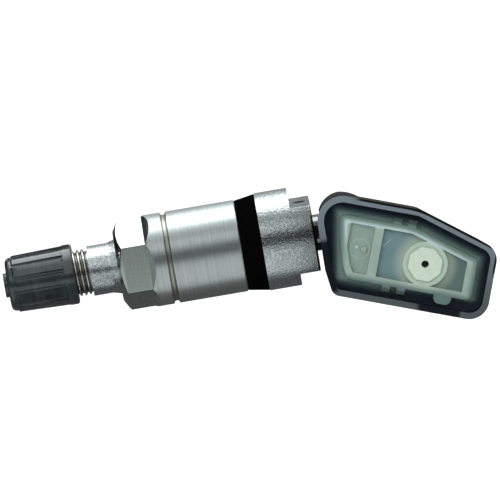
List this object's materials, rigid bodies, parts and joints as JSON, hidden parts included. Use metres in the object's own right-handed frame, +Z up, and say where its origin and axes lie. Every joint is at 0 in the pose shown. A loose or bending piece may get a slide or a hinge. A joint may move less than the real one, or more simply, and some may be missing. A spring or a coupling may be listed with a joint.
{
  "type": "tyre pressure sensor",
  "caption": "Clamp-in tyre pressure sensor: metal tyre valve with ribbed cap, long hex nut and rubber grommet, ball-jointed to a resin-filled sensor housing.",
  "frame": {"origin": "on the valve axis, where the nut's collar meets the rubber grommet: the wheel rim's seat", "axes": "+X along the valve towards the sensor, cap at -X; +Z up; the potted face looks along -Y"},
  "size_m": [0.0801, 0.0171, 0.0256],
  "materials": {
    "valve_stem": "blasted",
    "rim_grommet": "satin",
    "hex_nut": "turned and milled",
    "valve_cap": "smoked gloss",
    "cap_seal": "matte",
    "core_housing": "turned",
    "core_gasket": "matte",
    "core_pin": "turned",
    "core_spring": "drawn wire",
    "core_cup": "turned",
    "core_seat_seal": "matte",
    "ball_stud": "polished",
    "sensor_housing": "satin moulding",
    "potting": "clear cast resin",
    "carrier_frame": "translucent moulding",
    "port_boss": "moulded",
    "port_filter": "membrane",
    "pressure_chip": "moulded",
    "circuit_board": "solder mask",
    "crystal": "plated can",
    "capacitors": "ceramic",
    "lf_coil": "ferrite and wire",
    "antenna": "tinned strip",
    "battery_cell": "plated can",
    "battery_tab_negative": "plated strip",
    "battery_tab_positive": "plated strip",
    "ball_retainer": "moulded"
  },
  "bodies": {
    "stem assembly": {"valve_stem": "valve_stem", "rim_grommet": "rim_grommet", "ball_stud": "ball_stud", "core_housing": "core_housing", "core_gasket": "core_gasket", "core_spring": "core_spring"},
    "core plunger": {"core_pin": "core_pin", "core_cup": "core_cup", "core_seat_seal": "core_seat_seal"},
    "cap carriage": {"cap_seal": "cap_seal"},
    "cap shell": {"valve_cap": "valve_cap"},
    "clamp nut": {"hex_nut": "hex_nut"},
    "sensor body": {"sensor_housing": "sensor_housing", "ball_retainer": "ball_retainer", "potting": "potting", "carrier_frame": "carrier_frame", "port_boss": "port_boss", "port_filter": "port_filter", "pressure_chip": "pressure_chip", "circuit_board": "circuit_board", "crystal": "crystal", "capacitors": "capacitors", "lf_coil": "lf_coil", "antenna": "antenna", "battery_cell": "battery_cell", "battery_tab_negative": "battery_tab_negative", "battery_tab_positive": "battery_tab_positive"}
  },
  "joints": [
    {"name": "sensor_tilt", "type": "hinge", "parent": "stem assembly", "child": "sensor body", "pos_m": [0.0164, 0, 0], "axis": [0, 1, 0], "range_deg": [-12, 5]},
    {"name": "nut_run", "type": "slide", "parent": "stem assembly", "child": "clamp nut", "axis": [-1, 0, 0], "range_m": [0, 0.0065]},
    {"name": "cap_run", "type": "slide", "parent": "stem assembly", "child": "cap carriage", "axis": [-1, 0, 0], "range_m": [0, 0.00556]},
    {"name": "cap_turn", "type": "hinge", "parent": "cap carriage", "child": "cap shell", "pos_m": [-0.033, 0, 0], "axis": [-1, 0, 0], "range_deg": [0, 2540]},
    {"name": "core_press", "type": "slide", "parent": "stem assembly", "child": "core plunger", "axis": [1, 0, 0], "range_m": [0, 0.0012], "stiffness_N_per_m": 800, "deforming": ["core_spring"]}
  ],
  "couplings": [
    {"joint": "cap_turn", "follows": "cap_run", "rad_per_m": 7913.3}
  ]
}
